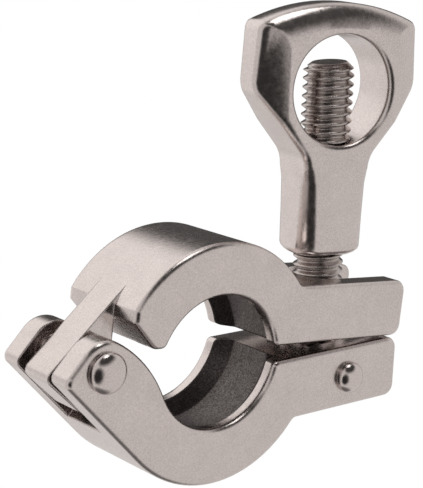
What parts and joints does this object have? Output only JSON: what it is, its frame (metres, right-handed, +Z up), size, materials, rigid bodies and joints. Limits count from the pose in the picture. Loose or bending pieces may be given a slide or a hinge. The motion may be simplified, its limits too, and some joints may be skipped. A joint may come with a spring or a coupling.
{
  "type": "sanitary hinged clamp",
  "caption": "Hinged pipe clamp with two grooved halves on a pin, a swing eye bolt in a fork and a shield-shaped wing nut with a finger hole.",
  "frame": {"origin": "centre of the ferrule joint that the clamp holds, in the middle of its width", "axes": "+Y along the tube away from the front face, +X towards the bolt, +Z up along the upright bolt"},
  "size_m": [0.0678, 0.0206, 0.0702],
  "materials": {
    "cast_steel": "tumbled satin casting with polished edges",
    "pin_steel": "smooth turned head",
    "bolt_steel": "rolled thread, slightly darker"
  },
  "bodies": {
    "lower": {"lower_half": "cast_steel", "hinge_pin": "pin_steel", "bolt_pin": "pin_steel"},
    "upper": {"upper_half": "cast_steel"},
    "bolt": {"eye_bolt": "bolt_steel"},
    "nut": {"wing_nut": "cast_steel"}
  },
  "joints": [
    {"name": "upper_swing", "type": "hinge", "parent": "lower", "child": "upper", "pos_m": [-0.0206, 0, 0.0012], "axis": [0, -1, 0], "range_deg": [0, 3]},
    {"name": "bolt_swing", "type": "hinge", "parent": "lower", "child": "bolt", "pos_m": [0.0264, 0, -0.0075], "axis": [0, 1, 0], "range_deg": [0, 180]},
    {"name": "nut_turn", "type": "hinge", "parent": "bolt", "child": "nut", "pos_m": [0.0264, 0, 0.02], "axis": [0, 0, 1], "continuous": true}
  ]
}
